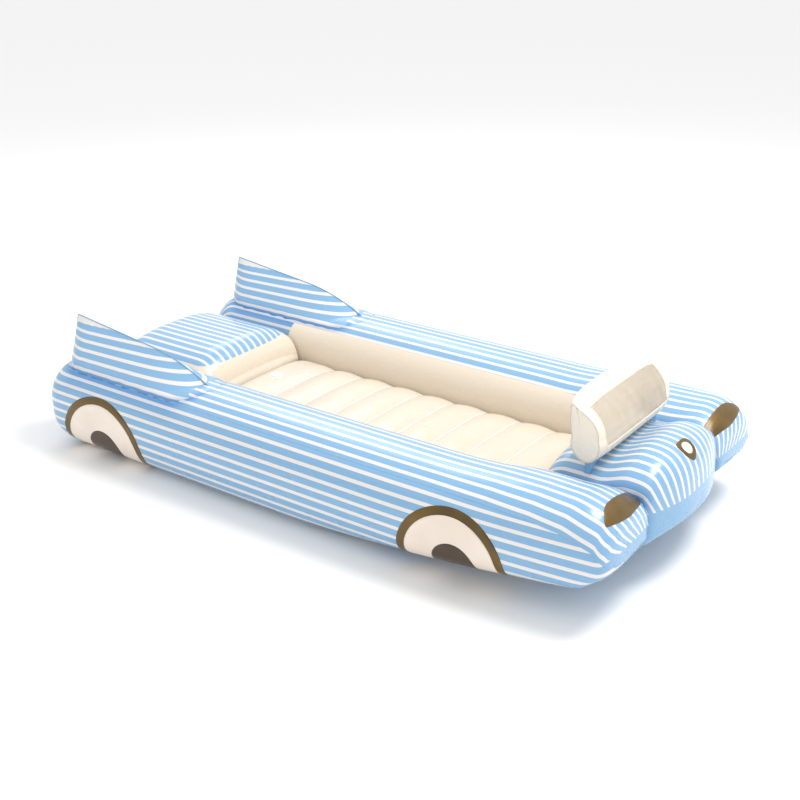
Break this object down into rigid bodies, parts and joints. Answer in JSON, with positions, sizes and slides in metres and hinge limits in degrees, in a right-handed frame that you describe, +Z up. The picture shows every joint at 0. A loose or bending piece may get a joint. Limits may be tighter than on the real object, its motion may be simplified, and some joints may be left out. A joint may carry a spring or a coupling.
{
  "type": "inflatable air bed",
  "caption": "Children's inflatable air bed shaped like an open-top finned car, with a removable inner mattress and an air-filled windshield.",
  "frame": {"origin": "centre of the footprint, on the floor", "axes": "+X towards the nose, +Y to the car's left, +Z up"},
  "size_m": [1.99, 1.056, 0.474],
  "materials": {
    "film_striped": "pearly printed PVC film, light blue with cream pinstripes",
    "film_blue": "pearly light blue PVC film",
    "film_cream": "soft-gloss cream PVC film",
    "film_clear": "clear, slightly grey PVC film",
    "film_web": "uncoated PVC film",
    "valve_plastic": "satin moulded soft PVC",
    "valve_flap_film": "matt elastomer"
  },
  "bodies": {
    "body": {"floor_sheet": "film_blue", "side_chamber_right": "film_striped", "side_chamber_left": "film_striped", "hood_chamber": "film_striped", "trunk_chamber": "film_striped", "fin_right": "film_striped", "fin_left": "film_striped", "side_baffles_right": "film_web", "side_baffles_left": "film_web", "hood_baffles": "film_web", "trunk_baffles": "film_web", "body_valve": "valve_plastic", "shield_skirt": "film_blue"},
    "body_valve_cap": {"body_valve_cap": "valve_plastic"},
    "body_valve_flap": {"body_valve_flap": "valve_flap_film"},
    "windshield": {"shield_frame": "film_cream", "shield_window": "film_clear", "shield_end_right": "film_cream", "shield_end_left": "film_cream", "shield_valve": "valve_plastic"},
    "windshield_plug": {"shield_valve_plug": "valve_plastic"},
    "mattress": {"mattress_envelope": "film_cream", "mattress_beams": "film_web", "mattress_valve": "valve_plastic"},
    "mattress_valve_cap": {"mattress_valve_cap": "valve_plastic"},
    "mattress_valve_flap": {"mattress_valve_flap": "valve_flap_film"}
  },
  "joints": [
    {"name": "windshield_bend", "type": "hinge", "parent": "body", "child": "windshield", "pos_m": [0.76, 0, 0.3465], "axis": [0, 1, 0], "range_deg": [-25, 25], "stiffness_Nm_per_rad": 1.5},
    {"name": "windshield_plug_hinge", "type": "hinge", "parent": "windshield", "child": "windshield_plug", "pos_m": [0.7006, -0.15, 0.3585], "axis": [0, 1, 0], "range_deg": [0, 140]},
    {"name": "mattress_lift", "type": "slide", "parent": "body", "child": "mattress", "axis": [0, 0, 1], "range_m": [0, 0.35]},
    {"name": "mattress_valve_cap_hinge", "type": "hinge", "parent": "mattress", "child": "mattress_valve_cap", "pos_m": [-0.4475, 0, 0.1784], "axis": [0, 1, 0], "range_deg": [0, 150]},
    {"name": "mattress_valve_flap_hinge", "type": "hinge", "parent": "mattress", "child": "mattress_valve_flap", "pos_m": [-0.4545, 0, 0.1504], "axis": [0, -1, 0], "range_deg": [0, 60], "stiffness_Nm_per_rad": 0.002},
    {"name": "body_valve_cap_hinge", "type": "hinge", "parent": "body", "child": "body_valve_cap", "pos_m": [-0.9894, 0, 0.1725], "axis": [0, 1, 0], "range_deg": [0, 150]},
    {"name": "body_valve_flap_hinge", "type": "hinge", "parent": "body", "child": "body_valve_flap", "pos_m": [-0.9614, 0, 0.1655], "axis": [0, -1, 0], "range_deg": [0, 60], "stiffness_Nm_per_rad": 0.002}
  ]
}
